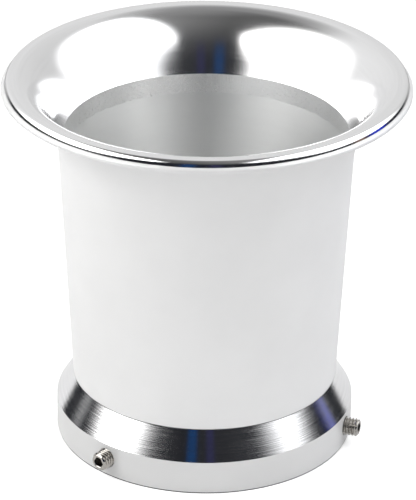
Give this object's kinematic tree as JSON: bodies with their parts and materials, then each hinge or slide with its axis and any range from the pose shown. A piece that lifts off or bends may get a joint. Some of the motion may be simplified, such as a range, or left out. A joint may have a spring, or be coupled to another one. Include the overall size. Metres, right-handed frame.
{
  "type": "velocity stack",
  "caption": "Clamp-on intake horn: a tapered tube with a polished rolled bellmouth on a bored collar that radial set screws fix to a carburettor mouth.",
  "frame": {"origin": "centre of the collar's flat bottom face, on the axis of the socket for the carburettor mouth", "axes": "+Z along the air passage, from the collar up to the bellmouth; -Y towards the side with the front set screw, +X towards the side set screw"},
  "size_m": [0.0856, 0.0856, 0.0814],
  "materials": {
    "satin_aluminium": "satin silver anodised",
    "turned_aluminium": "bright turned cut with satin anodised band",
    "rubber": "matte black nitrile",
    "screw_steel": "plain stainless"
  },
  "bodies": {
    "stack": {"horn": "satin_aluminium", "mounting_collar": "turned_aluminium", "sealing_ring": "rubber"},
    "front_screw": {"set_screw_front": "screw_steel"},
    "side_screw": {"set_screw_side": "screw_steel"},
    "rear_screw": {"set_screw_rear": "screw_steel"}
  },
  "joints": [
    {"name": "front_screw_travel", "type": "slide", "parent": "stack", "child": "front_screw", "axis": [-0.6428, -0.766, 0], "range_m": [-0.0026, 0.0027]},
    {"name": "side_screw_travel", "type": "slide", "parent": "stack", "child": "side_screw", "axis": [0.9511, -0.309, 0], "range_m": [-0.003, 0.0023]},
    {"name": "rear_screw_travel", "type": "slide", "parent": "stack", "child": "rear_screw", "axis": [-0.2756, 0.9613, 0], "range_m": [-0.003, 0.0023]}
  ]
}
